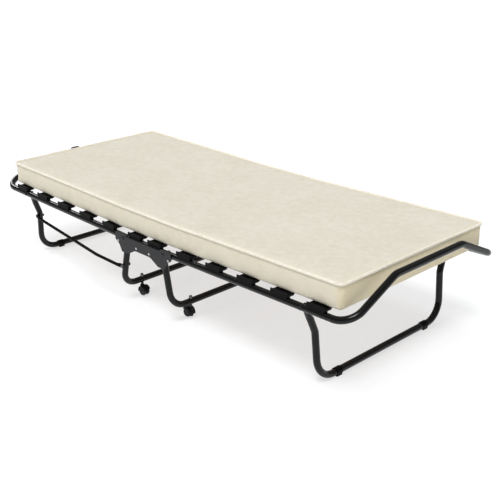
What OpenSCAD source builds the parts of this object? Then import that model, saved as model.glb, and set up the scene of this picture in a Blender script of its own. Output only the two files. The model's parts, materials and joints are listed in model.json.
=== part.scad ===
// Folding guest bed on a black tube frame: two halves that fold up about a
// pair of hinge plates, a linked leg under the foot half, a free-swinging leg
// under the head half, four swivel casters, sprung slats and a foam mattress.
// X runs from foot to head, Y across, Z up. The origin is on the floor under
// the middle of the bed.

/* [Frame] */
// Distance from the middle of the bed to the foot bar
foot_loop_x = 1008; // [1000:1:1010]
// Distance from the middle of the bed to the head bar
head_loop_x = 996; // [994:1:1002]
// Distance between the middles of the two side rails
rail_span = 824; // [816:2:836]
// Height of the middle of the rails at the fold
rail_z = 288; // [284:1:292]
// Angle by which each opened half rises towards its end
crown = 1; // [0:0.25:1.25]
// Outside diameter of the frame tube
tube_d = 25.4; // [25:0.1:26]
// Wall thickness of the frame tube
tube_wall = 1.5; // [1.2:0.1:2]
// Distance from the middle of the bed to each fold pivot
hinge_x = 120; // [119:0.5:121]
// Where the end loop meets the rail, from the middle of the bed
loop_joint_x = 921; // [918:1:921]
// Bend radius where the rail turns into the end loop
loop_bend_r = 68; // [62:1:68]
// Half length of the straight top bar of each end loop
loop_bar_y = 188; // [170:2:210]
// Height of the head bar above its rails
head_bar_rise = 103; // [95:1:108]
// Height of the foot bar above its rails
foot_bar_rise = 86; // [84:1:90]

/* [Legs] */
// Distance from the middle of the bed to the foot leg pivot
foot_leg_x = 830; // [828:1:832]
// Distance from the middle of the bed to the head leg pivot
head_leg_x = 802; // [800:1:804]
// Half width of an end leg where it turns down
leg_top_y = 356; // [352:1:358]
// Half width of an end leg at the floor
leg_foot_y = 350; // [346:1:352]
// Drop from the pivot to where the slanted top of an end leg turns down
leg_shoulder = 105; // [100:1:110]
// Bend radius at the bottom of an end leg
leg_bend_r = 80; // [60:5:90]
// Distance from a fold pivot to its link pivot, measured outward
link_out = 10; // [9:0.5:11]
// Distance from a fold pivot down to its link pivot
link_drop = 120; // [118:1:121]
// Diameter of a link rod
link_d = 12.7; // [12:0.1:12.7]
// Half spread of the middle legs at their bottom bars
mid_leg_x = 150; // [147:1:152]
// Height of the middle of those bottom bars
mid_bar_z = 73; // [72:0.5:75]
// Bend radius of the middle legs
mid_bend_r = 60; // [50:5:70]

/* [Casters] */
// Diameter of a caster wheel
wheel_d = 38; // [36:1:38]
// Distance from the middle of the bed to a caster, across
caster_y = 320; // [310:5:330]
// Distance the wheels trail behind the swivel stem
caster_trail = 12; // [10:1:13]
// Direction in which the parked casters trail, from the middle of the bed
caster_turn = 0; // [0:5:355]
// Clear height of the casters over the floor while the bed is open
caster_lift = 6; // [4:1:7]

/* [Slats] */
// Width of a slat
slat_w = 68; // [60:1:70]
// Thickness of a slat
slat_t = 8; // [7:0.5:8]
// Distance from the middle of the bed to the inner pair of slats
mid_slat_x = 60; // [58:1:60]
// Distance from the middle of the bed to the first slat of each half
first_slat_x = 227; // [224:1:228]
// Spacing of the slats in each half
slat_pitch = 159; // [157:1:159]
// Number of slats in each half
half_slats = 5; // [4:1:5]

/* [Mattress] */
// Length of the mattress
mattress_l = 1900; // [1880:5:1910]
// Width of the mattress
mattress_w = 800; // [780:5:800]
// Thickness of the mattress
mattress_t = 92.5; // [88:0.5:93]
// Corner radius of the mattress seen from above
mattress_r = 22; // [20:1:40]
// Half length of the part of the mattress that bends in the fold
fold_zone = 186; // [184:1:188]

/* [Hidden] */
$fn = 64;

black = "#1d1d1f";
grey = "#3b3b3d";
zinc = "#c9ccd0";
wood = "#6b4a34";
plastic = "#151515";
fabric = "#e2dbcd";

tube_r = tube_d / 2;
rail_y = rail_span / 2;
rail_start = hinge_x - 12;         // inner end of a side rail
side_gap = 0.5;                    // side play between moving flat parts
fit = 0.06;                        // running clearance on a pivot, radial

plate_t = 3;
plate_in = rail_y + tube_r + side_gap;   // inner face of a hinge plate
fixed_y = plate_in - tube_r;             // middle of the tubes welded to it
mid_tube_half = 101;                     // half length of the centre tube
rivet_d = 5;
mid_rivet = [39, 266];
stop_rivet = [151, rail_z - tube_r - 4.4];

bolt_d = 8;
link_bolt_d = 6;
pin_d = 7;                         // peg that holds a slat cap in the rail

// Slat caps: heights above the middle of the rail
cap_low = 13;
cap_top = 24;
lip_top = 29.5;                    // rim that keeps the mattress in place
lip_t = 4;
cap_w = slat_w + 8;
cap_out = 8;                       // reach past the middle of the rail
cap_in = 27;
mattress_z = rail_z + cap_top;

// End leg pivots of the opened bed, and the lean of the end legs
function leg_x(end) = end < 0 ? foot_leg_x : head_leg_x;
function pivot(end) = tilted(leg_x(end), rail_z);
foot_bar_z = 15;
lean = atan(link_out / link_drop);
function leg_l(end) = (pivot(end)[1] - foot_bar_z) / cos(lean);
leg_tab_t = 3;
leg_tab_w = 21;
leg_tab_y = rail_y - tube_r - side_gap - leg_tab_t / 2;
link_l = norm([link_out, link_drop]);

// Middle legs lean so that they pass through the link pivots
link_pivot = [hinge_x + link_out, rail_z - link_drop];
mid_lean = atan((mid_leg_x - link_pivot[0]) / (link_pivot[1] - mid_bar_z));
mid_leg_top = 262;

caster_stem_d = 8;
wheel_w = 10;
wheel_z = caster_lift + wheel_d / 2;
fork_t = 10;                       // thickness of the web between the wheels
hood_r = wheel_d / 2 + 3;

// A point of an opened half, given at its place in a level bed
function tilted(x, z) = [
    hinge_x + (x - hinge_x) * cos(crown) - (z - rail_z) * sin(crown),
    rail_z + (x - hinge_x) * sin(crown) + (z - rail_z) * cos(crown)];

function unit(v) = v / norm(v);

// Points of an arc that rounds the corner b of the path a-b-c
function corner_arc(a, b, c, r, steps = 12) =
    let (u = unit(a - b), v = unit(c - b),
         half = acos(u * v) / 2,
         centre = b + unit(u + v) * r / sin(half),
         from = b + u * r / tan(half) - centre,
         to = b + v * r / tan(half) - centre,
         turn = cross(from, to) > 0 ? 1 : -1,
         sweep = acos((from * to) / (r * r)))
    [for (i = [0:steps]) let (t = turn * sweep * i / steps)
        centre + [from[0] * cos(t) - from[1] * sin(t),
                  from[0] * sin(t) + from[1] * cos(t)]];

// A closed outline with each corner rounded by its own radius
function rounded(points, radii) =
    let (n = len(points))
    [for (i = [0:n - 1]) each radii[i] == 0 ? [points[i]]
        : corner_arc(points[(i + n - 1) % n], points[i],
                     points[(i + 1) % n], radii[i])];

// Places children with their z axis along dir and their x axis near side
module along(at, dir, side) {
    z = unit(dir);
    y = unit(cross(z, side));
    x = cross(y, z);
    multmatrix([[x[0], y[0], z[0], at[0]], [x[1], y[1], z[1], at[1]],
                [x[2], y[2], z[2], at[2]], [0, 0, 0, 1]])
        children();
}

module ring(d, wall) {
    difference() {
        circle(d = d);
        circle(d = d - 2 * wall);
    }
}

// A tube bent at every inner point of a path, each bend with its own radius.
// Bends swell a hair, as bent tube does, and the straight runs end inside them.
// The side vector is one that no straight run is parallel to.
module bent_tube(path, radii, side, d = tube_d, wall = tube_wall) {
    n = len(path);
    swell = 0.05;
    lap = 0.8;
    dirs = [for (i = [0:n - 2]) unit(path[i + 1] - path[i])];
    trim = [for (i = [0:n - 1]) i == 0 || i == n - 1 ? 0
        : radii[i - 1] * tan(acos(dirs[i - 1] * dirs[i]) / 2)];
    for (i = [0:n - 2]) {
        skip = i == 0 ? 0 : trim[i] - lap;
        stop = i == n - 2 ? 0 : trim[i + 1] - lap;
        along(path[i] + dirs[i] * skip, dirs[i], side)
            linear_extrude(norm(path[i + 1] - path[i]) - skip - stop)
                ring(d, wall);
    }
    for (i = [1:n - 2]) {
        a = dirs[i - 1];
        b = dirs[i];
        inward = unit(b - a * (a * b));
        normal = cross(-inward, a);
        centre = path[i] - a * trim[i] + inward * radii[i - 1];
        multmatrix([[-inward[0], a[0], normal[0], centre[0]],
                    [-inward[1], a[1], normal[1], centre[1]],
                    [-inward[2], a[2], normal[2], centre[2]], [0, 0, 0, 1]])
            rotate_extrude(angle = acos(a * b))
                translate([radii[i - 1], 0])
                    ring(d + 2 * swell, wall + 2 * swell);
    }
}

// A round bar that starts at height x, z and runs along y between two faces
module cross_bar(x, z, d, y0, y1) {
    translate([x, y0, z]) rotate([-90, 0, 0]) cylinder(d = d, h = y1 - y0);
}

// Everything of the head half is drawn on the +X side; end -1 is the foot
module to_end(end) { mirror([end < 0 ? 1 : 0, 0, 0]) children(); }
module to_side(side) { mirror([0, side > 0 ? 1 : 0, 0]) children(); }
module both_sides() { for (s = [-1, 1]) to_side(s) children(); }

// An opened half: drawn level, then raised by the crown about its fold pivot
module half(end) {
    to_end(end) translate([hinge_x, 0, rail_z]) rotate([0, -crown, 0])
        translate([-hinge_x, 0, -rail_z]) children();
}

// ---------- Hinge plates and middle frame ----------

module plate_outline() {
    right = [[46, 254], [92, 229], [130, 229], [146, 262], [169, 272],
             [169, 307], [113, 307], [100, 297]];
    radii = [40, 7, 7, 45, 10, 14, 9, 6];
    left = [for (i = [7:-1:0]) [-right[i][0], right[i][1]]];
    left_radii = [for (i = [7:-1:0]) radii[i]];
    polygon(rounded(concat(right, left), concat(radii, left_radii)));
}

// One pressed plate, on the near side of the bed
module hinge_plate(side) {
    color(grey) to_side(side) difference() {
        translate([0, -plate_in, 0]) rotate([90, 0, 0])
            linear_extrude(plate_t) plate_outline();
        for (m = [-1, 1]) {
            cross_bar(m * hinge_x, rail_z, bolt_d + 2 * fit,
                      -plate_in - plate_t - 1, -plate_in + 1);
            for (r = [mid_rivet, stop_rivet])
                cross_bar(m * r[0], r[1], rivet_d,
                          -plate_in - plate_t - 1, -plate_in + 1);
        }
    }
}

// The short tube between the two halves, with the strip that rivets it to
// the plate
module centre_tube(side) {
    strip_t = 3;
    strip_half = 54;
    strip_low = 257;
    color(black) to_side(side) difference() {
        union() {
            translate([-mid_tube_half, -fixed_y, rail_z]) rotate([0, 90, 0])
                cylinder(d = tube_d, h = 2 * mid_tube_half);
            translate([-strip_half, -plate_in, strip_low])
                cube([2 * strip_half, strip_t, rail_z - strip_low]);
        }
        translate([-mid_tube_half - 1, -fixed_y, rail_z]) rotate([0, 90, 0])
            cylinder(d = tube_d - 2 * tube_wall, h = 2 * mid_tube_half + 2);
        for (m = [-1, 1]) {
            cross_bar(m * mid_rivet[0], mid_rivet[1], rivet_d,
                      -plate_in - 1, -plate_in + strip_t + 1);
            translate([m * mid_slat_x, -fixed_y, rail_z])
                cylinder(d = pin_d + 2 * fit, h = tube_d);
        }
    }
}

module centre_leg(end) {
    top = [mid_leg_x - tan(mid_lean) * (mid_leg_top - mid_bar_z), mid_leg_top];
    path = [[top[0], -fixed_y, top[1]], [mid_leg_x, -fixed_y, mid_bar_z],
            [mid_leg_x, fixed_y, mid_bar_z], [top[0], fixed_y, top[1]]];
    weld_d = 3;
    weld_off = 7;
    color(black) to_end(end) difference() {
        union() {
            bent_tube(path, [mid_bend_r, mid_bend_r],
                      [cos(mid_lean), 0, sin(mid_lean)]);
            both_sides() for (m = [-1, 1])
                along([top[0] + m * weld_off, -plate_in + weld_d / 2, top[1]],
                      [sin(mid_lean), 0, -cos(mid_lean)], [1, 0, 0])
                    cylinder(d = weld_d, h = 26);
        }
        for (s = [-1, 1]) translate([mid_leg_x, s * caster_y, 0])
            cylinder(d = caster_stem_d + 2 * fit, h = 150);
        if (end < 0)
            cross_bar(link_pivot[0], link_pivot[1], link_bolt_d + 2 * fit,
                      -rail_span, rail_span);
    }
}

// ---------- Slats ----------

module slat_profile(grow = 0) {
    r = 2.5;
    w = slat_w / 2 - r;
    h = slat_t / 2 - r;
    for (x = [-w, w], y = [-h, h]) translate([x, y]) circle(r + grow);
    square([2 * w, slat_t + 2 * grow], center = true);
    square([slat_w + 2 * grow, 2 * h], center = true);
}

module slat(x) {
    end_y = rail_y + cap_out - 3;
    translate([x, end_y, rail_z + (cap_low + cap_top) / 2])
        rotate([90, 0, 0]) linear_extrude(2 * end_y) slat_profile();
}

// A moulded cap on the near rail: a pocket for the slat, a saddle on the tube
// and a peg that snaps into the rail
module slat_cap(x) {
    saddle_low = 7;
    saddle_in = 12.3;
    saddle_out = 7.5;
    translate([x, -rail_y, rail_z]) difference() {
        union() {
            translate([0, cap_in, (cap_low + cap_top) / 2]) rotate([90, 0, 0])
                linear_extrude(cap_in + cap_out) cap_outline();
            translate([-cap_w / 2 + 1, -cap_out, cap_top - 3])
                cube([cap_w - 2, lip_t, lip_top - cap_top + 3]);
            translate([-cap_w / 2 + 4, -saddle_out, saddle_low])
                cube([cap_w - 8, saddle_in + saddle_out,
                      cap_low - saddle_low + 1]);
            translate([0, 0, tube_r - tube_wall - 3])
                cylinder(d = pin_d, h = 9);
        }
        difference() {
            translate([-cap_w, 0, 0]) rotate([0, 90, 0])
                cylinder(r = tube_r + fit, h = 2 * cap_w);
            cylinder(d = pin_d, h = 2 * tube_r);
        }
        translate([0, cap_in + 1, (cap_low + cap_top) / 2]) rotate([90, 0, 0])
            linear_extrude(cap_in + 1 + cap_out - 3) slat_profile(0.05);
    }
}

module cap_outline() {
    r = 3;
    w = cap_w / 2 - r;
    h = (cap_top - cap_low) / 2 - r;
    for (x = [-w, w], y = [-h, h]) translate([x, y]) circle(r);
    square([2 * w, 2 * (h + r)], center = true);
    square([cap_w, 2 * h], center = true);
}

module centre_slats() {
    color(wood) for (x = [-mid_slat_x, mid_slat_x]) slat(x);
}

module centre_slat_caps() {
    color(plastic) both_sides() for (x = [-mid_slat_x, mid_slat_x])
        translate([0, rail_y - fixed_y, 0]) slat_cap(x);
}

module half_slat_set(end) {
    color(wood) half(end) for (i = [0:half_slats - 1])
        slat(first_slat_x + i * slat_pitch);
}

module half_slat_caps(end) {
    color(plastic) half(end) both_sides() for (i = [0:half_slats - 1])
        slat_cap(first_slat_x + i * slat_pitch);
}

// ---------- Rails and end loops ----------

module rail(end, side) {
    color(black) half(end) to_side(side) difference() {
        translate([rail_start, -rail_y, rail_z]) rotate([0, 90, 0])
            linear_extrude(loop_joint_x - rail_start) ring(tube_d, tube_wall);
        for (x = [hinge_x, leg_x(end)])
            cross_bar(x, rail_z, bolt_d + 2 * fit,
                      -rail_y - tube_d, -rail_y + tube_d);
        for (i = [0:half_slats - 1])
            translate([first_slat_x + i * slat_pitch, -rail_y, rail_z])
                cylinder(d = pin_d + 2 * fit, h = tube_d);
    }
}

// The bar that rises around the end of the mattress
module end_loop(end) {
    loop_x = end < 0 ? foot_loop_x : head_loop_x;
    rise = end < 0 ? foot_bar_rise : head_bar_rise;
    top_bend_r = 64;
    path = [[loop_joint_x, -rail_y, rail_z], [loop_x, -rail_y, rail_z],
            [loop_x, -loop_bar_y, rail_z + rise],
            [loop_x, loop_bar_y, rail_z + rise],
            [loop_x, rail_y, rail_z], [loop_joint_x, rail_y, rail_z]];
    color(black) half(end) difference() {
        bent_tube(path, [loop_bend_r, top_bend_r, top_bend_r, loop_bend_r],
                  [0.3, 0.3, 1]);
        loop_screw_holes();
    }
}

spigot_in = 34;                    // length of the spigot inside the rail
spigot_out = 7.5;                  // and inside the end loop
screw_out = 3.8;                   // screw position past the joint
screw_d = 4;

module loop_screw_holes() {
    for (s = [-1, 1]) translate([loop_joint_x + screw_out, 0, 0])
        to_side(s) cross_bar(0, rail_z, screw_d, -rail_y - tube_r - 1, -rail_y);
}

// Sleeves inside the joints of the rails and the end loop
module spigots(end) {
    color(grey) half(end) difference() {
        both_sides()
            translate([loop_joint_x - spigot_in, -rail_y, rail_z])
                rotate([0, 90, 0]) linear_extrude(spigot_in + spigot_out)
                    ring(tube_d - 2 * tube_wall - 2 * fit, tube_wall);
        loop_screw_holes();
    }
}

module loop_screws(end) {
    color(zinc) half(end) both_sides() {
        x = loop_joint_x + screw_out;
        cross_bar(x, rail_z, screw_d, -rail_y - tube_r - 0.5, -rail_y - 7);
        translate([x, -rail_y - tube_r + 0.4, rail_z]) pan_head(7.5, 2.6);
    }
}

// ---------- Fasteners ----------

// A domed head that stands on a face and points to -Y
module pan_head(d, h) {
    rotate([90, 0, 0]) intersection() {
        cylinder(d = d, h = h);
        translate([0, 0, h - (d * d / 4 + h * h) / (2 * h)])
            sphere(r = (d * d / 4 + h * h) / (2 * h));
    }
}

module hex_nut(d_flats, h, bore) {
    difference() {
        cylinder(d = d_flats / cos(30), h = h, $fn = 6);
        translate([0, 0, -1]) cylinder(d = bore, h = h + 2);
    }
}

// A nut on a bolt along Y, with its outer face at y
module cross_nut(x, z, y, d_flats, h, bore) {
    translate([x, y, z]) rotate([-90, 0, 0]) hex_nut(d_flats, h, bore);
}

module rivet(x, z, inner_y) {
    head = 1.3;
    cross_bar(x, z, rivet_d, -plate_in - plate_t - 0.5, inner_y);
    translate([x, -plate_in - plate_t, z]) pan_head(10, head);
}

module plate_rivets() {
    color(zinc) both_sides() for (m = [-1, 1]) {
        rivet(m * mid_rivet[0], mid_rivet[1], -plate_in + 5);
        rivet(m * stop_rivet[0], stop_rivet[1], -rail_y);
        cross_bar(m * stop_rivet[0], stop_rivet[1], 8, -plate_in, -rail_y);
        cross_bar(m * mid_rivet[0], mid_rivet[1], 8,
                  -plate_in + 3, -plate_in + 5);
    }
}

nut_t = 6.5;
hinge_nut_y = -rail_y + tube_r + side_gap;
leg_nut_y = -leg_tab_y + leg_tab_t / 2 + side_gap;

module hinge_bolts() {
    color(black) both_sides() for (m = [-1, 1]) {
        cross_bar(m * hinge_x, rail_z, bolt_d, -plate_in - plate_t,
                  hinge_nut_y + nut_t + 1);
        translate([m * hinge_x, -plate_in - plate_t, rail_z])
            pan_head(17, 4.5);
    }
}

module hinge_nuts() {
    color(black) both_sides() for (m = [-1, 1])
        cross_nut(m * hinge_x, rail_z, hinge_nut_y, 13, nut_t, bolt_d);
}

module leg_bolts(end) {
    color(zinc) half(end) both_sides() {
        cross_bar(leg_x(end), rail_z, bolt_d, -rail_y - tube_r,
                  leg_nut_y + nut_t + 1);
        translate([leg_x(end), -rail_y - tube_r, rail_z]) pan_head(15, 4);
    }
}

module leg_nuts(end) {
    color(black) half(end) both_sides()
        cross_nut(leg_x(end), rail_z, leg_nut_y, 13, nut_t, bolt_d);
}

// ---------- End legs ----------

// A leg lies in one plane through its pivot; u is the drop along that plane
function leg_point(end, y, u) =
    [pivot(end)[0] + u * sin(lean), y, pivot(end)[1] - u * cos(lean)];

module end_leg(end) {
    shoulder_r = 45;
    neck_u = 52;                   // where the tube becomes round
    neck_lap = 1;
    neck_y = leg_tab_y - (leg_tab_y - leg_top_y) * neck_u / leg_shoulder;
    bottom = leg_l(end);
    path = [leg_point(end, 0, bottom), leg_point(end, -leg_foot_y, bottom),
            leg_point(end, -leg_top_y, leg_shoulder),
            leg_point(end, -neck_y, neck_u)];
    slant = unit(path[2] - path[3]);
    color(black) to_end(end) difference() {
        union() {
            both_sides() {
                bent_tube(path, [leg_bend_r, shoulder_r],
                          [cos(lean), 0, sin(lean)]);
                leg_tab(end);
                hull() {
                    along(path[3] + slant * neck_lap, slant,
                          [cos(lean), 0, sin(lean)])
                        cylinder(d = tube_d + 1, h = 0.01, $fn = 32);
                    tab_slice(end, 14);
                }
            }
        }
        cross_bar(pivot(end)[0], pivot(end)[1], bolt_d + 2 * fit,
                  -rail_span, rail_span);
        if (end < 0)
            cross_bar(leg_link[0], leg_link[2], link_bolt_d + 2 * fit,
                      -rail_span, rail_span);
    }
}

// The flattened end of the tube that lies on the inside of the rail
module leg_tab(end) {
    translate([pivot(end)[0], -leg_tab_y + leg_tab_t / 2, pivot(end)[1]])
        rotate([90, -lean, 0]) linear_extrude(leg_tab_t) {
            circle(d = leg_tab_w);
            translate([-leg_tab_w / 2, -16]) square([leg_tab_w, 16]);
        }
}

module tab_slice(end, u) {
    translate([pivot(end)[0], -leg_tab_y, pivot(end)[1]]) rotate([0, lean, 0])
        translate([0, 0, -u])
            cube([leg_tab_w + 0.4, leg_tab_t + 0.4, 0.02], center = true);
}

// Moulded clips that the leg stands on
module leg_pads(end) {
    pad_y = 250;
    pad_l = 26;
    pad_r = tube_r + 2.5;
    bar = leg_point(end, 0, leg_l(end));
    color(plastic) to_end(end) both_sides() difference() {
        union() {
            cross_bar(bar[0], bar[2], 2 * pad_r, -pad_y - pad_l / 2,
                      -pad_y + pad_l / 2);
            translate([bar[0] - 12, -pad_y - pad_l / 2, 0])
                cube([24, pad_l, bar[2]]);
        }
        cross_bar(bar[0], bar[2], tube_d + 2 * fit, -pad_y - pad_l,
                  -pad_y + pad_l);
        translate([bar[0] - pad_r, -pad_y - pad_l, -5])
            cube([2 * pad_r, 2 * pad_l, 5]);
    }
}

// ---------- Link rods ----------

rod_tab_t = 3;
rod_tab_w = 18;
rod_wall = 1.2;
spacer_t = 4.8;                    // washers between rod and middle leg
leg_link = leg_point(-1, 0, link_l);
leg_side_y = leg_top_y - (leg_top_y - leg_foot_y)
    * (link_l - leg_shoulder) / (leg_l(-1) - leg_shoulder);
rod_out_y = plate_in + spacer_t;               // inner face, middle leg end
rod_in_y = leg_side_y + tube_r + 1;            // inner face, end leg end
link_nut_t = 5;

// A rod of the foot half, drawn on the head side and mirrored there. It runs
// past the hinge plate before it bends in to the end leg, and both ends are
// pressed flat round a bolt hole, flush with the inside of the tube.
module link_rod(side) {
    straight = 165;
    neck = 26;
    r = link_d / 2;
    near = [link_pivot[0], -rod_out_y - r, link_pivot[1]];
    far = [leg_link[0], -rod_in_y - r, leg_link[2]];
    level = unit([far[0] - near[0], 0, far[2] - near[2]]);
    bend = near + level * straight;
    slant = unit(far - bend);
    color(black) to_end(-1) to_side(side) difference() {
        union() {
            bent_tube([near + level * neck, bend, far - slant * neck], [120],
                      [0, 0, 1], link_d, rod_wall);
            rod_end(near, level, level, neck);
            rod_end(far, -level, -slant, neck);
        }
        for (at = [near, far])
            cross_bar(at[0], at[2], link_bolt_d + 2 * fit,
                      at[1] - r - 1, at[1] + r + 1);
    }
}

// The tab lies along flat_run, its tube along tube_run
module rod_end(at, flat_run, tube_run, neck) {
    slope = atan2(flat_run[2], flat_run[0]);
    flat = 9;
    tab_y = link_d / 2 - rod_tab_t / 2;
    translate(at + [0, tab_y, 0]) rotate([90, 0, 0]) {
        cylinder(d = rod_tab_w, h = rod_tab_t, center = true);
        rotate(slope) translate([0, -rod_tab_w / 2 + 0.3, -rod_tab_t / 2])
            cube([flat + 1, rod_tab_w - 0.6, rod_tab_t]);
    }
    hull() {
        translate(at + [0, tab_y, 0]) rotate([90, 0, 0]) rotate(slope)
            translate([flat, 0, 0])
                cube([0.02, rod_tab_w - 0.3, rod_tab_t + 0.3], center = true);
        along(at + tube_run * (neck + 1), tube_run, [0, 0, 1])
            cylinder(d = link_d + 0.8, h = 0.01, $fn = 32);
    }
}

// Bolts of the link rods at the middle leg, each with its spacing washer
module link_bolts() {
    y = -rod_out_y - rod_tab_t - side_gap;
    color(zinc) to_end(-1) both_sides() {
        cross_bar(link_pivot[0], link_pivot[1], link_bolt_d, y,
                  -fixed_y + tube_r + link_nut_t + 2);
        cross_bar(link_pivot[0], link_pivot[1], 12,
                  -rod_out_y + 0.1, -plate_in);
        translate([link_pivot[0], y, link_pivot[1]]) pan_head(13, 4);
    }
}

module link_nuts() {
    color(plastic) to_end(-1) both_sides()
        cross_nut(link_pivot[0], link_pivot[1], -fixed_y + tube_r, 13,
                  link_nut_t, link_bolt_d);
}

// Bolts of the link rods at the end leg
module leg_link_bolts() {
    y = -rod_in_y - rod_tab_t - side_gap;
    color(zinc) to_end(-1) both_sides() {
        cross_bar(leg_link[0], leg_link[2], link_bolt_d, y,
                  -leg_side_y + tube_r + link_nut_t + 2);
        translate([leg_link[0], y, leg_link[2]]) pan_head(13, 4);
    }
}

module leg_link_nuts() {
    color(plastic) to_end(-1) both_sides()
        cross_nut(leg_link[0], leg_link[2], -leg_side_y + tube_r + 0.15, 10,
                  link_nut_t, link_bolt_d);
}

// ---------- Casters ----------

stem_collar_z = wheel_z + hood_r + 1;      // top of the swivel housing
stem_top_z = mid_bar_z + tube_r + 8;

module at_caster(end, side) {
    translate([end * mid_leg_x, side * caster_y, 0]) children();
}

// Everything that swivels: parked casters trail toward the middle of the bed
module parked(end, side) {
    at_caster(end, side) rotate([0, 0, caster_turn + (end > 0 ? 180 : 0)])
        children();
}

module at_axle() {
    translate([caster_trail, 0, wheel_z]) rotate([90, 0, 0]) children();
}

module all_casters() {
    for (e = [-1, 1], s = [-1, 1]) at_caster(e, s) children();
}

module caster_stems() {
    color(zinc) all_casters() {
        translate([0, 0, stem_collar_z - 14])
            cylinder(d = caster_stem_d, h = stem_top_z - stem_collar_z + 14);
        translate([0, 0, stem_collar_z + side_gap])
            cylinder(d = 11, h = mid_bar_z - tube_r - stem_collar_z
                                 - side_gap);
    }
}

// Domed nuts on top of the middle legs' bars
module caster_nuts() {
    dome_r = 6.4;
    color(zinc) all_casters() translate([0, 0, mid_bar_z + tube_r])
        difference() {
            union() {
                cylinder(d = 13 / cos(30), h = 6, $fn = 6);
                translate([0, 0, 6.5]) sphere(r = dome_r);
            }
            translate([0, 0, -1]) cylinder(d = caster_stem_d, h = 9);
        }
}

// Swivel housing: a web between the wheels, a hood over them and a boss that
// turns on the stem
module caster_fork(end, side) {
    width = fork_t + 2 * wheel_w;
    color(plastic) parked(end, side) difference() {
        union() {
            at_axle() cylinder(r = wheel_d / 2 - 3, h = fork_t, center = true);
            at_axle() linear_extrude(width, center = true) hood_outline();
            cylinder(d = 18, h = stem_collar_z);
        }
        for (m = [-1, 1])
            at_axle() translate([0, 0, m * (fork_t / 2 + wheel_w)])
                cylinder(r = wheel_d / 2 + 1, h = 2 * wheel_w, center = true);
        translate([-20, -20, -1]) cube([40, 40, caster_lift + 7]);
        translate([0, 0, stem_collar_z - 15])
            cylinder(d = caster_stem_d + 2 * fit, h = 30);
        at_axle() cylinder(d = 5 + 2 * fit, h = fork_t + 1, center = true);
    }
}

// The hood seen from the side: the upper part of a disc
module hood_outline() {
    intersection() {
        circle(r = hood_r);
        rotate(20) translate([-2 * hood_r, 2]) square([4 * hood_r, 2 * hood_r]);
    }
}

module caster_axle(end, side) {
    color(zinc) parked(end, side) at_axle()
        cylinder(d = 5, h = fork_t + 2 * wheel_w - 5, center = true);
}

// The two wheels, joined by the axle that they turn with
module caster_wheels(end, side) {
    color(plastic) parked(end, side) at_axle()
        for (m = [0, 1]) mirror([0, 0, m])
            translate([0, 0, fork_t / 2 + 0.4]) difference() {
                rotate_extrude() wheel_section();
                translate([0, 0, -1])
                    cylinder(d = 5 + 2 * fit, h = wheel_w - 2.6);
            }
}

// Half section of a wheel: flat inside, domed and recessed outside
module wheel_section() {
    r = wheel_d / 2;
    w = wheel_w - 0.4;
    polygon([[0, 0], [r - 1, 0], [r, 1], [r, w - 5], [r - 2, w - 1.5],
             [r - 5, w], [r - 8, w], [r - 9, w - 1.5], [0, w - 0.5]]);
}

// ---------- Mattress and strap ----------

module mattress_outline(from, to) {
    w = mattress_w / 2;
    translate([from, -w]) square([to - mattress_r - from, 2 * w]);
    translate([from, -w + mattress_r])
        square([to - from, 2 * (w - mattress_r)]);
    for (y = [-w + mattress_r, w - mattress_r])
        translate([to - mattress_r, y]) circle(r = mattress_r);
}

module mattress_half(end) {
    color(fabric) half(end) translate([0, 0, mattress_z])
        linear_extrude(mattress_t)
            mattress_outline(fold_zone + 3, mattress_l / 2);
}

module mattress_fold() {
    color(fabric) translate([-fold_zone, -mattress_w / 2, mattress_z])
        cube([2 * fold_zone, mattress_w, mattress_t]);
}

// The strap that holds the folded bed shut, wound round the foot bar
module closing_strap() {
    strap_w = 30;
    wound_d = 40;
    strap_y = -30;
    color(plastic) half(-1)
        translate([foot_loop_x, strap_y, rail_z + foot_bar_rise])
            rotate([90, 0, 0])
            linear_extrude(strap_w, center = true)
                ring(wound_d, (wound_d - tube_d) / 2 - 0.05);
}

hinge_plate(-1);  // hinge_plate_front
hinge_plate(1);  // hinge_plate_rear
centre_tube(-1);  // centre_tube_front
centre_tube(1);  // centre_tube_rear
centre_leg(-1);  // centre_leg_foot
centre_leg(1);  // centre_leg_head
centre_slats();
centre_slat_caps();
plate_rivets();
hinge_bolts();
hinge_nuts();
link_bolts();
link_nuts();
caster_stems();
caster_nuts();
mattress_fold();
rail(-1, -1);  // foot_rail_front
rail(-1, 1);  // foot_rail_rear
end_loop(-1);  // foot_end_loop
spigots(-1);  // foot_spigots
loop_screws(-1);  // foot_loop_screws
half_slat_set(-1);  // foot_slats
half_slat_caps(-1);  // foot_slat_caps
leg_bolts(-1);  // foot_leg_bolts
leg_nuts(-1);  // foot_leg_nuts
mattress_half(-1);  // mattress_foot
closing_strap();
rail(1, -1);  // head_rail_front
rail(1, 1);  // head_rail_rear
end_loop(1);  // head_end_loop
spigots(1);  // head_spigots
loop_screws(1);  // head_loop_screws
half_slat_set(1);  // head_slats
half_slat_caps(1);  // head_slat_caps
leg_bolts(1);  // head_leg_bolts
leg_nuts(1);  // head_leg_nuts
mattress_half(1);  // mattress_head
end_leg(-1);  // foot_leg
leg_pads(-1);  // foot_leg_pads
leg_link_bolts();
leg_link_nuts();
end_leg(1);  // head_leg
leg_pads(1);  // head_leg_pads
link_rod(-1);  // link_rod_front
link_rod(1);  // link_rod_rear
caster_fork(-1, -1);  // caster_fork_foot_front
caster_axle(-1, -1);  // caster_axle_foot_front
caster_wheels(-1, -1);  // caster_wheels_foot_front
caster_fork(-1, 1);  // caster_fork_foot_rear
caster_axle(-1, 1);  // caster_axle_foot_rear
caster_wheels(-1, 1);  // caster_wheels_foot_rear
caster_fork(1, -1);  // caster_fork_head_front
caster_axle(1, -1);  // caster_axle_head_front
caster_wheels(1, -1);  // caster_wheels_head_front
caster_fork(1, 1);  // caster_fork_head_rear
caster_axle(1, 1);  // caster_axle_head_rear
caster_wheels(1, 1);  // caster_wheels_head_rear
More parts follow.
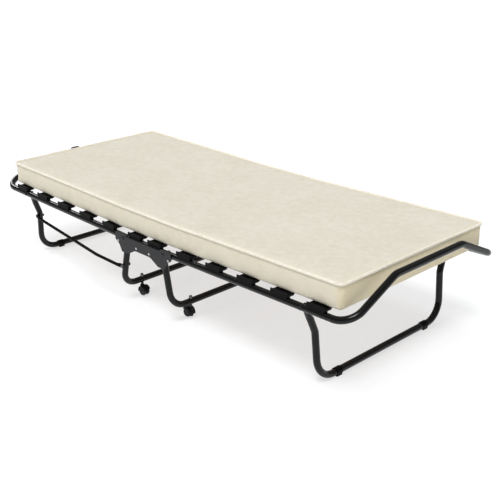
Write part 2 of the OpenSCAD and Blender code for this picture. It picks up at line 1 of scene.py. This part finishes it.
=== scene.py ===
"""Folding cot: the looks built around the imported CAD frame, in metres."""
import json
import math

import bmesh
import bpy
import numpy as np
from mathutils import Matrix, Vector, noise


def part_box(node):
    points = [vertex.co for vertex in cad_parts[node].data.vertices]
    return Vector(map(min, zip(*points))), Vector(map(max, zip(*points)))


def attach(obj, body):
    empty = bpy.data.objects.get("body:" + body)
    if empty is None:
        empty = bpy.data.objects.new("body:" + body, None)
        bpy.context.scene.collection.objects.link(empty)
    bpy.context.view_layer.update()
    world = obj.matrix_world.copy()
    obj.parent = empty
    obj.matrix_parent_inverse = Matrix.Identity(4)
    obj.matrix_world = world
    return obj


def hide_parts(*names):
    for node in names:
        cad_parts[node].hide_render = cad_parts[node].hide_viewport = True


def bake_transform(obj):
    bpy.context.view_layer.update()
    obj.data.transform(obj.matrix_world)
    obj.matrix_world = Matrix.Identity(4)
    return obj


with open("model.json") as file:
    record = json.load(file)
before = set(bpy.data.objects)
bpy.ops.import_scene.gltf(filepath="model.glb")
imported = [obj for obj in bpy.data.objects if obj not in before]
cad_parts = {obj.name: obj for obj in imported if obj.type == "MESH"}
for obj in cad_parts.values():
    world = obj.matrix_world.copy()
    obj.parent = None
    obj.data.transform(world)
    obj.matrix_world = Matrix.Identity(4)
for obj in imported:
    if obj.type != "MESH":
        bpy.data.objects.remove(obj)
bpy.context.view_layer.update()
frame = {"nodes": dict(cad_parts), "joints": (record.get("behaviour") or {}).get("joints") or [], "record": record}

nodes = frame["nodes"]
joints = {joint["name"]: joint for joint in frame["joints"]}

MM = 0.001


# ---------- Small helpers ----------

def srgb(red, green, blue):
    """A colour given as it looks on a screen, 0 to 255, as a linear one."""
    out = []
    for value in (red, green, blue):
        value /= 255
        out.append(value / 12.92 if value <= 0.04045
                   else ((value + 0.055) / 1.055) ** 2.4)
    return (*out, 1.0)


def smoothstep(low, high, value):
    t = np.clip((value - low) / (high - low), 0, 1)
    return t * t * (3 - 2 * t)


def coords(mesh):
    flat = np.empty(len(mesh.vertices) * 3, np.float32)
    mesh.vertices.foreach_get("co", flat)
    return flat.reshape(-1, 3).astype(float)


def set_coords(mesh, co):
    mesh.vertices.foreach_set("co", co.astype(np.float32).ravel())
    mesh.update()


def store(mesh, name, values):
    """Keeps a vector for each vertex, for the materials to read."""
    layer = mesh.attributes.get(name) or mesh.attributes.new(
        name, "FLOAT_VECTOR", "POINT")
    layer.data.foreach_set("vector", values.astype(np.float32).ravel())


def new_object(name, verts, faces):
    mesh = bpy.data.meshes.new(name)
    mesh.from_pydata([tuple(map(float, v)) for v in verts], [], faces)
    mesh.update()
    obj = bpy.data.objects.new(name, mesh)
    bpy.context.scene.collection.objects.link(obj)
    return obj


def outward(obj):
    """Makes every face look out of the closed mesh."""
    work = bmesh.new()
    work.from_mesh(obj.data)
    bmesh.ops.recalc_face_normals(work, faces=work.faces)
    work.to_mesh(obj.data)
    work.free()


def smooth(obj, sharp_angle=math.radians(50)):
    """Smooth shading with sharp edges kept where faces meet steeply."""
    mesh = obj.data
    mesh.polygons.foreach_set("use_smooth", [True] * len(mesh.polygons))
    mesh.set_sharp_from_angle(angle=sharp_angle)


def dress(obj, look):
    obj.data.materials.clear()
    obj.data.materials.append(look)


# ---------- Materials ----------

class Look:
    """A procedural material: one Principled shader and what feeds it."""

    def __init__(self, name, **sockets):
        self.material = bpy.data.materials.new(name)
        self.material.use_nodes = True
        self.tree = self.material.node_tree
        self.shader = self.tree.nodes["Principled BSDF"]
        for socket, value in sockets.items():
            self.shader.inputs[socket.replace("_", " ")].default_value = value

    def feed(self, socket, value):
        if isinstance(value, bpy.types.NodeSocket):
            self.tree.links.new(value, socket)
        else:
            socket.default_value = value

    def node(self, kind, inputs, **settings):
        made = self.tree.nodes.new("ShaderNode" + kind)
        for key, value in settings.items():
            setattr(made, key, value)
        for key, value in inputs.items():
            self.feed(made.inputs[key], value)
        return made

    def place(self):
        """Where a point is on the part, in metres."""
        return self.node("TexCoord", {}).outputs["Object"]

    def stored(self, name):
        return self.node("Attribute", {}, attribute_name=name).outputs["Vector"]

    def stretched(self, place, scale):
        return self.node("VectorMath", {0: place, 1: scale},
                         operation="MULTIPLY").outputs[0]

    def noise(self, place, scale, detail=2.0, roughness=0.5, distortion=0.0):
        return self.node("TexNoise", {
            "Vector": place, "Scale": scale, "Detail": detail,
            "Roughness": roughness, "Distortion": distortion,
        }).outputs["Fac"]

    def grains(self, place, scale):
        return self.node("TexVoronoi", {"Vector": place, "Scale": scale}
                         ).outputs["Distance"]

    def math(self, operation, a, b=0.0):
        return self.node("Math", {0: a, 1: b}, operation=operation).outputs[0]

    def levels(self, value, low, high, out_low=0.0, out_high=1.0):
        return self.node("MapRange", {
            "Value": value, "From Min": low, "From Max": high,
            "To Min": out_low, "To Max": out_high}).outputs["Result"]

    def mix(self, factor, a, b):
        made = self.tree.nodes.new("ShaderNodeMix")
        made.data_type = "RGBA"
        self.feed(made.inputs["Factor"], factor)
        self.feed([s for s in made.inputs if s.identifier == "A_Color"][0], a)
        self.feed([s for s in made.inputs if s.identifier == "B_Color"][0], b)
        return [s for s in made.outputs if s.identifier == "Result_Color"][0]

    def split(self, vector):
        return self.node("SeparateXYZ", {"Vector": vector}).outputs

    def wave(self, value, pitch):
        """A sine wave, -1 to 1, that repeats every pitch metres."""
        return self.math("SINE", self.math("MULTIPLY", value,
                                           2 * math.pi / pitch))

    def colour(self, value):
        self.feed(self.shader.inputs["Base Color"], value)

    def rough(self, value):
        self.feed(self.shader.inputs["Roughness"], value)

    def bump(self, height, distance, strength=1.0, below=None):
        inputs = {"Height": height, "Distance": distance, "Strength": strength}
        if below:
            inputs["Normal"] = below
        out = self.node("Bump", inputs).outputs["Normal"]
        self.feed(self.shader.inputs["Normal"], out)
        return out


def powder_coat(name, base, dusty, rough_low, rough_high, gloss=0.28):
    """Baked powder paint: fine orange peel, a little dust and scuffing."""
    look = Look(name, Specular_IOR_Level=gloss)
    place = look.place()
    blotch = look.noise(place, 14, 4, 0.6)
    scuff = look.levels(look.noise(look.stretched(place, (1, 1, 3)), 190, 3,
                                   0.7), 0.66, 0.8)
    look.colour(look.mix(
        look.math("ADD", look.math("MULTIPLY", scuff, 0.25),
                  look.levels(blotch, 0.4, 0.75, 0.0, 0.35)), base, dusty))
    look.rough(look.math("ADD", look.levels(blotch, 0.3, 0.7, rough_low,
                                            rough_high),
                         look.math("MULTIPLY", scuff, 0.12)))
    look.bump(look.noise(place, 650, 2, 0.45), 0.12 * MM, 0.5)
    return look.material


def plated(name, bright, dull):
    """Zinc plate with a cloudy lustre."""
    look = Look(name, Metallic=1.0)
    place = look.place()
    blotch = look.noise(place, 260, 3, 0.6)
    look.colour(look.mix(look.levels(blotch, 0.35, 0.7), bright, dull))
    look.rough(look.levels(blotch, 0.3, 0.75, 0.2, 0.42))
    look.bump(look.noise(place, 1400, 2), 0.05 * MM, 0.5)
    return look.material


def black_oxide():
    look = Look("black_oxide", Metallic=0.75)
    place = look.place()
    blotch = look.noise(place, 300, 3, 0.6)
    look.colour(look.mix(look.levels(blotch, 0.4, 0.75),
                         srgb(36, 36, 38), srgb(70, 70, 72)))
    look.rough(look.levels(blotch, 0.3, 0.7, 0.32, 0.5))
    look.bump(look.noise(place, 1600, 2), 0.05 * MM, 0.5)
    return look.material


def moulded(name, base, worn, rough_low=0.42, rough_high=0.6,
            grain=0.08 * MM):
    """Moulded plastic with a fine spark-eroded grain."""
    look = Look(name, Specular_IOR_Level=0.1)
    place = look.place()
    cells = look.grains(place, 1500)
    patch = look.noise(place, 45, 4, 0.6)
    look.colour(look.mix(look.levels(patch, 0.45, 0.8), base, worn))
    look.rough(look.levels(patch, 0.3, 0.7, rough_low, rough_high))
    soft = look.bump(look.noise(place, 500, 2), 0.08 * MM, 0.4)
    look.bump(cells, grain, 0.6, below=soft)
    return look.material


def stained_wood():
    """Bentwood slats: long grain across the bed, glued plies on the edges."""
    look = Look("stained_wood", Specular_IOR_Level=0.45, Coat_Weight=0.15,
                Coat_Roughness=0.3)
    place = look.place()
    along = look.stretched(place, (1, 0.045, 1))
    figure = look.noise(along, 46, 5, 0.62, 1.2)
    fibre = look.noise(look.stretched(place, (1, 0.02, 1)), 900, 3, 0.7)
    grain = look.math("ADD", look.math("MULTIPLY", figure, 0.65),
                      look.math("MULTIPLY", fibre, 0.35))
    body = look.mix(look.levels(grain, 0.36, 0.66),
                    srgb(92, 50, 30), srgb(150, 92, 56))
    plies = look.wave(look.split(place)[2], 2.6 * MM)
    upright = look.math("ABSOLUTE", look.split(
        look.node("NewGeometry", {}).outputs["Normal"])[2])
    edge = look.math("MULTIPLY", look.levels(plies, -0.2, 0.2),
                     look.levels(upright, 0.7, 0.3, 0.0, 0.55))
    look.colour(look.mix(edge, body, srgb(70, 38, 24)))
    look.rough(look.levels(fibre, 0.3, 0.7, 0.38, 0.56))
    look.bump(grain, 0.25 * MM, 0.35)
    return look.material


def woven_cover():
    """Cream ticking: a plain weave with slubs and a soft cloudy shade; painted shade on its sides and ends."""
    look = Look("woven_cover", Sheen_Weight=0.5, Sheen_Roughness=0.45,
                Sheen_Tint=srgb(255, 253, 248), Specular_IOR_Level=0.2)
    place = look.stored("cloth_place")
    x, y, z = look.split(place)
    facing = look.split(look.node("VectorMath", {
        0: look.node("NewGeometry", {}).outputs["Normal"]},
        operation="ABSOLUTE").outputs[0])
    pitch = 1.5 * MM
    waves = [look.wave(part, pitch) for part in (x, y, z)]
    panels = [look.math("MULTIPLY", look.math("MULTIPLY", waves[a], waves[b]),
                        facing[c])
              for a, b, c in ((0, 1, 2), (0, 2, 1), (1, 2, 0))]
    weave = look.math("ADD", look.math("ADD", panels[0], panels[1]), panels[2])
    slub = look.math("ADD",
                     look.noise(look.stretched(place, (1, 14, 14)), 38, 3),
                     look.noise(look.stretched(place, (14, 1, 14)), 38, 3))
    cloud = look.noise(place, 34, 4, 0.62, 0.4)
    broad = look.noise(place, 5.5, 2, 0.5)
    shade = look.math("ADD", look.math("MULTIPLY", cloud, 0.55),
                      look.math("ADD", look.math("MULTIPLY", slub, 0.3),
                                look.math("MULTIPLY", broad, 0.25)))
    body = look.mix(look.levels(shade, 0.52, 0.86),
                    srgb(234, 229, 216), srgb(219, 211, 193))
    # painted shade: faces turned to the sides are mixed towards a darker, yellower cream
    sides = look.mix(look.math("MULTIPLY", facing[1], 0.6), body,
                     srgb(231, 222, 198))
    # painted shade: faces turned to the ends are mixed towards a darker tan
    look.colour(look.mix(look.math("MULTIPLY", facing[0], 0.8), sides,
                         srgb(223, 209, 170)))
    look.rough(look.levels(slub, 0.8, 1.2, 0.78, 0.92))
    drawn = look.noise(look.stretched(place, (7, 1.6, 3)), 2.6, 3, 0.55, 0.8)
    loose = look.levels(x, 0.35, -0.6, 0.25, 1.0)
    creased = look.bump(look.math("MULTIPLY", drawn, loose), 5 * MM, 0.3)
    soft = look.bump(cloud, 1.6 * MM, 0.35, below=creased)
    yarn = look.bump(slub, 0.35 * MM, 0.5, below=soft)
    look.bump(weave, 0.16 * MM, 0.55, below=yarn)
    return look.material


def piping_cloth():
    """Lighter bias tape, its twill running round the cord."""
    look = Look("piping_cloth", Sheen_Weight=0.3, Sheen_Roughness=0.4,
                Sheen_Tint=srgb(255, 252, 246), Specular_IOR_Level=0.25)
    run = look.stored("run")
    along, around, _ = look.split(run)
    twill = look.wave(look.math("ADD", along, around), 1.3 * MM)
    cross = look.wave(look.math("SUBTRACT", along, around), 1.3 * MM)
    patch = look.noise(run, 60, 3)
    look.colour(look.mix(look.levels(patch, 0.35, 0.7),
                         srgb(249, 243, 229), srgb(239, 230, 212)))
    look.rough(look.levels(patch, 0.3, 0.7, 0.66, 0.82))
    soft = look.bump(patch, 0.5 * MM, 0.4)
    look.bump(look.math("MULTIPLY", twill, cross), 0.14 * MM, 0.6, below=soft)
    return look.material


def webbing():
    """Black polypropylene tape: ribs across, a herringbone along."""
    look = Look("webbing", Sheen_Weight=0.2, Sheen_Roughness=0.4,
                Specular_IOR_Level=0.4)
    run = look.stored("run")
    along, across, _ = look.split(run)
    ribs = look.wave(across, 2.2 * MM)
    chevron = look.wave(look.math("ADD", along, look.math(
        "MULTIPLY", look.math("ABSOLUTE", across), 0.8)), 1.7 * MM)
    weave = look.math("MULTIPLY", ribs, chevron)
    look.colour(look.mix(look.levels(weave, -0.6, 0.8),
                         srgb(18, 18, 19), srgb(46, 46, 48)))
    look.rough(look.levels(look.noise(run, 300, 2), 0.3, 0.7, 0.5, 0.68))
    look.bump(weave, 0.25 * MM, 0.7)
    return look.material


def light_table():
    """A white floor, partly lit from below, so that shadows stay pale."""
    look = Look("light_table", Specular_IOR_Level=0.1,
                Emission_Color=(1, 1, 1, 1), Emission_Strength=0.62)
    place = look.place()
    look.colour(look.mix(look.noise(place, 0.8, 1),
                         (0.41, 0.42, 0.435, 1), (0.43, 0.44, 0.455, 1)))
    look.rough(look.levels(look.noise(place, 3, 1), 0.3, 0.7, 0.86, 0.92))
    return look.material


cover_look = woven_cover()
piping_look = piping_cloth()
webbing_look = webbing()
slot_looks = {
    "tube": powder_coat("coated_tube", srgb(5, 5, 6), srgb(19, 19, 21),
                        0.13, 0.2),
    # painted shade: a darker, duller copy of the tube coat, so the thin rods stay as black as in the shade under
    # the bed
    "rod": powder_coat("coated_rod_painted_shade", srgb(2, 2, 2), srgb(9, 9, 10),
                       0.4, 0.55, 0.08),
    "plate": powder_coat("coated_plate", srgb(26, 26, 28), srgb(42, 42, 45),
                         0.3, 0.42),
    "zinc": plated("bright_zinc", srgb(214, 216, 218), srgb(172, 174, 176)),
    "dull_zinc": plated("dull_zinc", srgb(124, 125, 128), srgb(92, 93, 96)),
    "black_steel": black_oxide(),
    "black_plastic": moulded("black_plastic", srgb(4, 4, 5),
                             srgb(16, 16, 17)),
    "wood": stained_wood(),
    "mattress_cover": cover_look,
    "strap": webbing_look,
    "caster_housing": moulded("caster_housing", srgb(14, 14, 15),
                              srgb(32, 32, 34), 0.34, 0.5),
    "wheel": moulded("nylon_wheel", srgb(34, 34, 36), srgb(74, 72, 70),
                     0.3, 0.5, 0.05 * MM),
}

for row in frame["record"]["subparts"]:
    mesh = nodes[row["node"]].data
    mesh.materials.clear()
    mesh.materials.append(slot_looks[row["material_slot"]])


# ---------- Mattress ----------

fold_lo, fold_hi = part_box("mattress_fold")
head_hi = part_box("mattress_head")[1]
crown = math.radians(1)
fold_pivot = Vector(joints["head_fold"]["pos_m"])

SEAM_INSET = 2.5 * MM                 # the seams lie this far inside the sides
CELL = 12 * MM
CORNER = 22 * MM - SEAM_INSET
half_x = head_hi.x + 0.5 * MM - SEAM_INSET
half_y = fold_hi.y - SEAM_INSET
seam_top = fold_hi.z - 3.5 * MM
seam_bottom = fold_lo.z + 3.5 * MM
SWELL_CAP = 5 * MM                    # no point of the cover moves further
SLAT_GAP = 0.3 * MM                   # between the underside and the slats
HEM_RISE = 2.6 * MM                   # from the underside up to its seam
HEM_WIDTH = 20 * MM


def grid_lines(half):
    """Grid lines from -half to half, with one at 0 and at each corner arc."""
    arc = max(2, round(CORNER / CELL))
    flat = 2 * round((half - CORNER) / CELL)
    outer = np.linspace(half - CORNER, half, arc + 1)
    return np.concatenate([-outer[:0:-1],
                           np.linspace(CORNER - half, half - CORNER, flat + 1),
                           outer[1:]])


def rounded_grid(xs, ys):
    """The grid's points with its square corners drawn in to quarter discs."""
    x, y = np.meshgrid(xs, ys, indexing="ij")
    u = np.clip((np.abs(x) - (half_x - CORNER)) / CORNER, 0, 1)
    v = np.clip((np.abs(y) - (half_y - CORNER)) / CORNER, 0, 1)
    both = (u > 0) & (v > 0)
    px = np.where(both, np.sign(x) * (half_x - CORNER + CORNER * u
                                      * np.sqrt(1 - v * v / 2)), x)
    py = np.where(both, np.sign(y) * (half_y - CORNER + CORNER * v
                                      * np.sqrt(1 - u * u / 2)), y)
    return px, py


def edge_loop(nx, ny):
    """Grid indices round the outline, anticlockwise from the first corner."""
    return ([(i, 0) for i in range(nx - 1)]
            + [(nx - 1, j) for j in range(ny - 1)]
            + [(i, ny - 1) for i in range(nx - 1, 0, -1)]
            + [(0, j) for j in range(ny - 1, 0, -1)])


def mattress_shell():
    """A closed box of even quads. Returns it with its top seam's loop."""
    xs, ys = grid_lines(half_x), grid_lines(half_y)
    nx, ny = len(xs), len(ys)
    px, py = rounded_grid(xs, ys)
    verts, faces = [], []

    def sheet(z):
        first = len(verts)
        verts.extend((px[i, j], py[i, j], z)
                     for i in range(nx) for j in range(ny))
        return first

    def at(first, i, j):
        return first + i * ny + j

    top, bottom = sheet(seam_top), sheet(seam_bottom)
    for i in range(nx - 1):
        for j in range(ny - 1):
            quad = ((i, j), (i + 1, j), (i + 1, j + 1), (i, j + 1))
            faces.append([at(top, *c) for c in quad])
            faces.append([at(bottom, *c) for c in reversed(quad)])
    loop = edge_loop(nx, ny)
    rows = round((seam_top - seam_bottom) / (10 * MM))
    rings = [[at(bottom, *c) for c in loop]]
    for k in range(1, rows):
        first = len(verts)
        verts.extend((px[c], py[c], seam_bottom + (seam_top - seam_bottom)
                      * k / rows) for c in loop)
        rings.append(list(range(first, first + len(loop))))
    rings.append([at(top, *c) for c in loop])
    for low, high in zip(rings, rings[1:]):
        for k in range(len(loop)):
            n = (k + 1) % len(loop)
            faces.append([low[k], low[n], high[n], high[k]])
    shell = new_object("mattress_shell", verts, faces)
    return shell, rings[-1]


def swell(obj, pinned, cap):
    """Fills the cover with a cloth simulation; no point moves over cap."""
    rest = coords(obj.data)
    ruffle = np.array([noise.noise_vector(Vector(p) * 28) for p in rest])
    free = np.ones(len(rest))
    free[pinned] = 0
    set_coords(obj.data, rest + ruffle * 0.6 * MM * free[:, None])
    group = obj.vertex_groups.new(name="seams")
    group.add([int(k) for k in pinned], 1.0, "REPLACE")
    cloth = obj.modifiers.new("Cloth", "CLOTH")
    settings = cloth.settings
    settings.quality = 4
    settings.mass = 0.3
    settings.tension_stiffness = 15
    settings.compression_stiffness = 15
    settings.shear_stiffness = 5
    settings.bending_stiffness = 0.4
    settings.shrink_min = -0.012
    settings.use_pressure = True
    settings.uniform_pressure_force = 4
    settings.vertex_group_mass = "seams"
    settings.effector_weights.gravity = 0
    cloth.collision_settings.use_collision = False
    cloth.point_cache.frame_start = 1
    cloth.point_cache.frame_end = 20
    for number in range(1, 21):
        bpy.context.scene.frame_set(number)
    ready = obj.evaluated_get(bpy.context.evaluated_depsgraph_get())
    moved = coords(ready.data) - rest
    obj.modifiers.remove(cloth)
    obj.vertex_groups.remove(group)
    bpy.context.scene.frame_set(1)
    reach = np.linalg.norm(moved, axis=1)
    kept = cap * np.tanh(reach / cap)
    set_coords(obj.data, rest + moved * (kept / np.maximum(reach, 1e-9))[:, None])


def subdivided(obj):
    modifier = obj.modifiers.new("Subdivision", "SUBSURF")
    modifier.levels = modifier.render_levels = 1
    ready = obj.evaluated_get(bpy.context.evaluated_depsgraph_get())
    mesh = bpy.data.meshes.new_from_object(ready)
    obj.modifiers.clear()
    obj.data = mesh


def opened_out(co):
    """The level cover bent to the frame's shallow V about its fold pivots."""
    out = co.copy()
    for side in (-1, 1):
        ours = co[:, 0] * side > 0
        x, z = co[ours, 0] * side, co[ours, 2]
        turn = crown * smoothstep(0.1, 0.3, x)
        dx, dz = x - fold_pivot.x, z - fold_pivot.z
        out[ours, 0] = side * (fold_pivot.x + dx * np.cos(turn)
                               - dz * np.sin(turn))
        out[ours, 2] = fold_pivot.z + dx * np.sin(turn) + dz * np.cos(turn)
    return out


def half_of(obj, name, side):
    """The part of a closed mesh on one side of x = 0, with its cut closed."""
    mesh = obj.data.copy()
    half = bpy.data.objects.new(name, mesh)
    bpy.context.scene.collection.objects.link(half)
    work = bmesh.new()
    work.from_mesh(mesh)
    cut = bmesh.ops.bisect_plane(
        work, geom=work.verts[:] + work.edges[:] + work.faces[:],
        dist=1e-6, plane_co=(0, 0, 0), plane_no=(-side, 0, 0),
        clear_outer=True)["geom_cut"]
    rim = [e for e in cut if isinstance(e, bmesh.types.BMEdge)
           and e.is_boundary]
    caps = bmesh.ops.triangle_fill(work, edges=rim, use_beauty=True)["geom"]
    for edge in rim:
        edge.smooth = False
    bmesh.ops.recalc_face_normals(work, faces=work.faces)
    for face in work.faces:
        face.smooth = True
    for face in caps:
        if isinstance(face, bmesh.types.BMFace):
            face.smooth = False
    work.to_mesh(mesh)
    work.free()
    return half


def follow_fold(obj):
    """Bakes the piece's placement into its mesh."""
    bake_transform(obj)


shell, top_loop = mattress_shell()
flat_co = coords(shell.data)
on_bottom = np.flatnonzero(np.abs(flat_co[:, 2] - seam_bottom) < 1e-6)
swell(shell, np.unique(np.concatenate([top_loop, on_bottom])),
      SWELL_CAP)
loop_co = coords(shell.data)[top_loop]
subdivided(shell)
level = coords(shell.data)
store(shell.data, "cloth_place", level)
# the underside lies on the slats, just clear of their caps, and rises to its
# own seam round the edge
under = level[:, 2] < seam_bottom + 0.4 * MM
inset = np.minimum(half_x - np.abs(level[under, 0]),
                   half_y - np.abs(level[under, 1]))
level[under, 2] = (fold_lo.z + SLAT_GAP
                   + HEM_RISE * smoothstep(HEM_WIDTH, 0, inset))
set_coords(shell.data, opened_out(level))

for side, name, old in ((-1, "mattress_foot_half", ("mattress_foot",)),
                        (1, "mattress_head_half",
                         ("mattress_head", "mattress_fold"))):
    half = half_of(shell, name, side)
    dress(half, cover_look)
    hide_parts(*old)
    follow_fold(half)
bpy.data.objects.remove(shell)


# ---------- Piping ----------

PIPE_R = 5.4 * MM
CORD_OUT = 0.6 * MM                   # the cord's middle outside the seam
CORD_UP = 0.8 * MM                    # and above it


def swept(name, path, radius, closed_ends=True, sides=14):
    """A round cord along a path of points, with its run stored."""
    path = np.array(path, float)
    step = np.linalg.norm(np.diff(path, axis=0), axis=1)
    run = np.concatenate([[0], np.cumsum(step)])
    tangent = np.gradient(path, axis=0)
    tangent /= np.linalg.norm(tangent, axis=1)[:, None]
    up = np.array([0, 0, 1.0])
    verts, faces, runs = [], [], []
    for k, (point, ahead) in enumerate(zip(path, tangent)):
        right = np.cross(ahead, up)
        right /= np.linalg.norm(right)
        above = np.cross(right, ahead)
        swing = 1 + 0.03 * noise.noise(Vector(point) * 60)
        for n in range(sides):
            angle = 2 * math.pi * n / sides
            verts.append(point + radius * swing * (
                math.cos(angle) * right + math.sin(angle) * above))
            runs.append((run[k], radius * angle, 0))
    count = len(path)
    for k in range(count - 1):
        for n in range(sides):
            m = (n + 1) % sides
            faces.append([k * sides + n, k * sides + m,
                          (k + 1) * sides + m, (k + 1) * sides + n])
    if closed_ends:
        faces.append(list(range(sides)))
        faces.append([(count - 1) * sides + n for n in range(sides)])
    obj = new_object(name, verts, faces)
    outward(obj)
    smooth(obj)
    store(obj.data, "run", np.array(runs))
    return obj


def cord_line():
    """The top seam's loop, moved out and up to where the cord lies."""
    loop = loop_co.copy()
    ahead = np.roll(loop, -1, axis=0) - np.roll(loop, 1, axis=0)
    out = np.stack([ahead[:, 1], -ahead[:, 0], 0 * ahead[:, 0]], axis=1)
    out /= np.linalg.norm(out, axis=1)[:, None]
    return opened_out(loop + out * CORD_OUT + np.array([0, 0, CORD_UP]))


cord = cord_line()
for side, name in ((-1, "piping_foot"), (1, "piping_head")):
    order = np.flatnonzero(cord[:, 0] * side > 1e-5)
    # the loop is cut at x = 0, so the half runs from one cut to the other
    breaks = np.flatnonzero(np.diff(order) > 1)
    if len(breaks):
        order = np.concatenate([order[breaks[0] + 1:], order[:breaks[0] + 1]])
    half_path = cord[order]
    start, stop = half_path[0].copy(), half_path[-1].copy()
    start[0] = stop[0] = 0
    piece = swept(name, np.concatenate([[start], half_path, [stop]]), PIPE_R)
    dress(piece, piping_look)
    follow_fold(piece)


# ---------- Closing strap, wound on the foot bar ----------

def wound_strap():
    low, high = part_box("closing_strap")
    centre = (low + high) / 2
    width = high.y - low.y
    inner, outer = 13.1 * MM, (high.z - low.z) / 2
    turns, thick, steps = 3.6, 1.5 * MM, 200
    verts, faces, runs = [], [], []
    pitch = (outer - thick - inner) / turns
    across = 9
    start_angle = math.radians(150)
    run = 0
    for k in range(steps + 1):
        turn = turns * k / steps
        radius = inner + pitch * turn
        angle = start_angle + 2 * math.pi * turn
        if k:
            run += 2 * math.pi * turns / steps * radius
        ray = Vector((math.cos(angle), 0, math.sin(angle)))
        ring = []
        for r in (radius, radius + thick):
            line = []
            for n in range(across):
                share = n / (across - 1) - 0.5
                puff = 0.25 * MM * (1 - (2 * share) ** 6)
                reach = r + (puff if r > radius else -puff * 0.4)
                wander = 0.5 * MM * math.sin(turn * 5.1)
                line.append((centre + ray * reach
                             + Vector((0, share * width + wander, 0)),
                             (run, share * width, 0)))
            ring += line if r == radius else line[::-1]
        verts += [point for point, _ in ring]
        runs += [where for _, where in ring]
    size = 2 * across
    for k in range(steps):
        for n in range(size):
            m = (n + 1) % size
            faces.append([k * size + n, k * size + m,
                          (k + 1) * size + m, (k + 1) * size + n])
    faces.append(list(range(size)))
    faces.append([steps * size + n for n in range(size)])
    strap = new_object("wound_strap", verts, faces)
    outward(strap)
    smooth(strap)
    store(strap.data, "run", np.array(runs))
    dress(strap, webbing_look)
    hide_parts("closing_strap")
    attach(strap, "foot_frame")


wound_strap()


# ---------- Floor, light and camera ----------

bpy.ops.mesh.primitive_plane_add(size=60)
floor = bpy.context.object
floor.name = "studio_floor"
floor.data.materials.append(light_table())


def dome():
    """A dim white sky, brighter overhead."""
    world = bpy.data.worlds.new("studio")
    bpy.context.scene.world = world
    world.use_nodes = True
    tree = world.node_tree
    place = tree.nodes.new("ShaderNodeTexCoord")
    split = tree.nodes.new("ShaderNodeSeparateXYZ")
    ramp = tree.nodes.new("ShaderNodeMapRange")
    ramp.inputs["To Min"].default_value = 0.2
    ramp.inputs["To Max"].default_value = 0.5
    background = tree.nodes["Background"]
    background.inputs["Color"].default_value = (1, 1, 1, 1)
    tree.links.new(place.outputs["Generated"], split.inputs["Vector"])
    tree.links.new(split.outputs["Z"], ramp.inputs["Value"])
    tree.links.new(ramp.outputs["Result"], background.inputs["Strength"])


def lamp(name, towards, power, width):
    """A far, wide white lamp: width is the angle it covers, in degrees."""
    data = bpy.data.lights.new(name, "SUN")
    data.energy = power
    data.angle = math.radians(width)
    obj = bpy.data.objects.new(name, data)
    bpy.context.scene.collection.objects.link(obj)
    obj.rotation_euler = (-Vector(towards)).to_track_quat("-Z", "Y").to_euler()


dome()
lamp("overhead", (0.22, -0.42, 0.95), 2.0, 21)
lamp("key", (-0.8, 0.1, 0.6), 0.7, 13)

bpy.context.scene.view_settings.view_transform = "Standard"


def camera():
    """Stands where the photograph was taken from."""
    azimuth, elevation = math.radians(46.83), math.radians(21.39)
    roll, distance = math.radians(-0.45), 3.706
    aim = Vector((0, 0, 0.179))
    back = Vector((math.sin(azimuth) * math.cos(elevation),
                   -math.cos(azimuth) * math.cos(elevation),
                   math.sin(elevation)))
    right = Vector((math.cos(azimuth), math.sin(azimuth), 0))
    up = back.cross(right)
    across = right * math.cos(roll) + up * math.sin(roll)
    upward = up * math.cos(roll) - right * math.sin(roll)
    data = bpy.data.cameras.new("camera")
    data.lens = 64.27
    data.sensor_width = 36
    data.shift_x, data.shift_y = 0.0516, -0.012
    obj = bpy.data.objects.new("camera", data)
    bpy.context.scene.collection.objects.link(obj)
    obj.matrix_world = Matrix((
        (across.x, upward.x, back.x, aim.x + distance * back.x),
        (across.y, upward.y, back.y, aim.y + distance * back.y),
        (across.z, upward.z, back.z, aim.z + distance * back.z),
        (0, 0, 0, 1)))
    bpy.context.scene.camera = obj


camera()
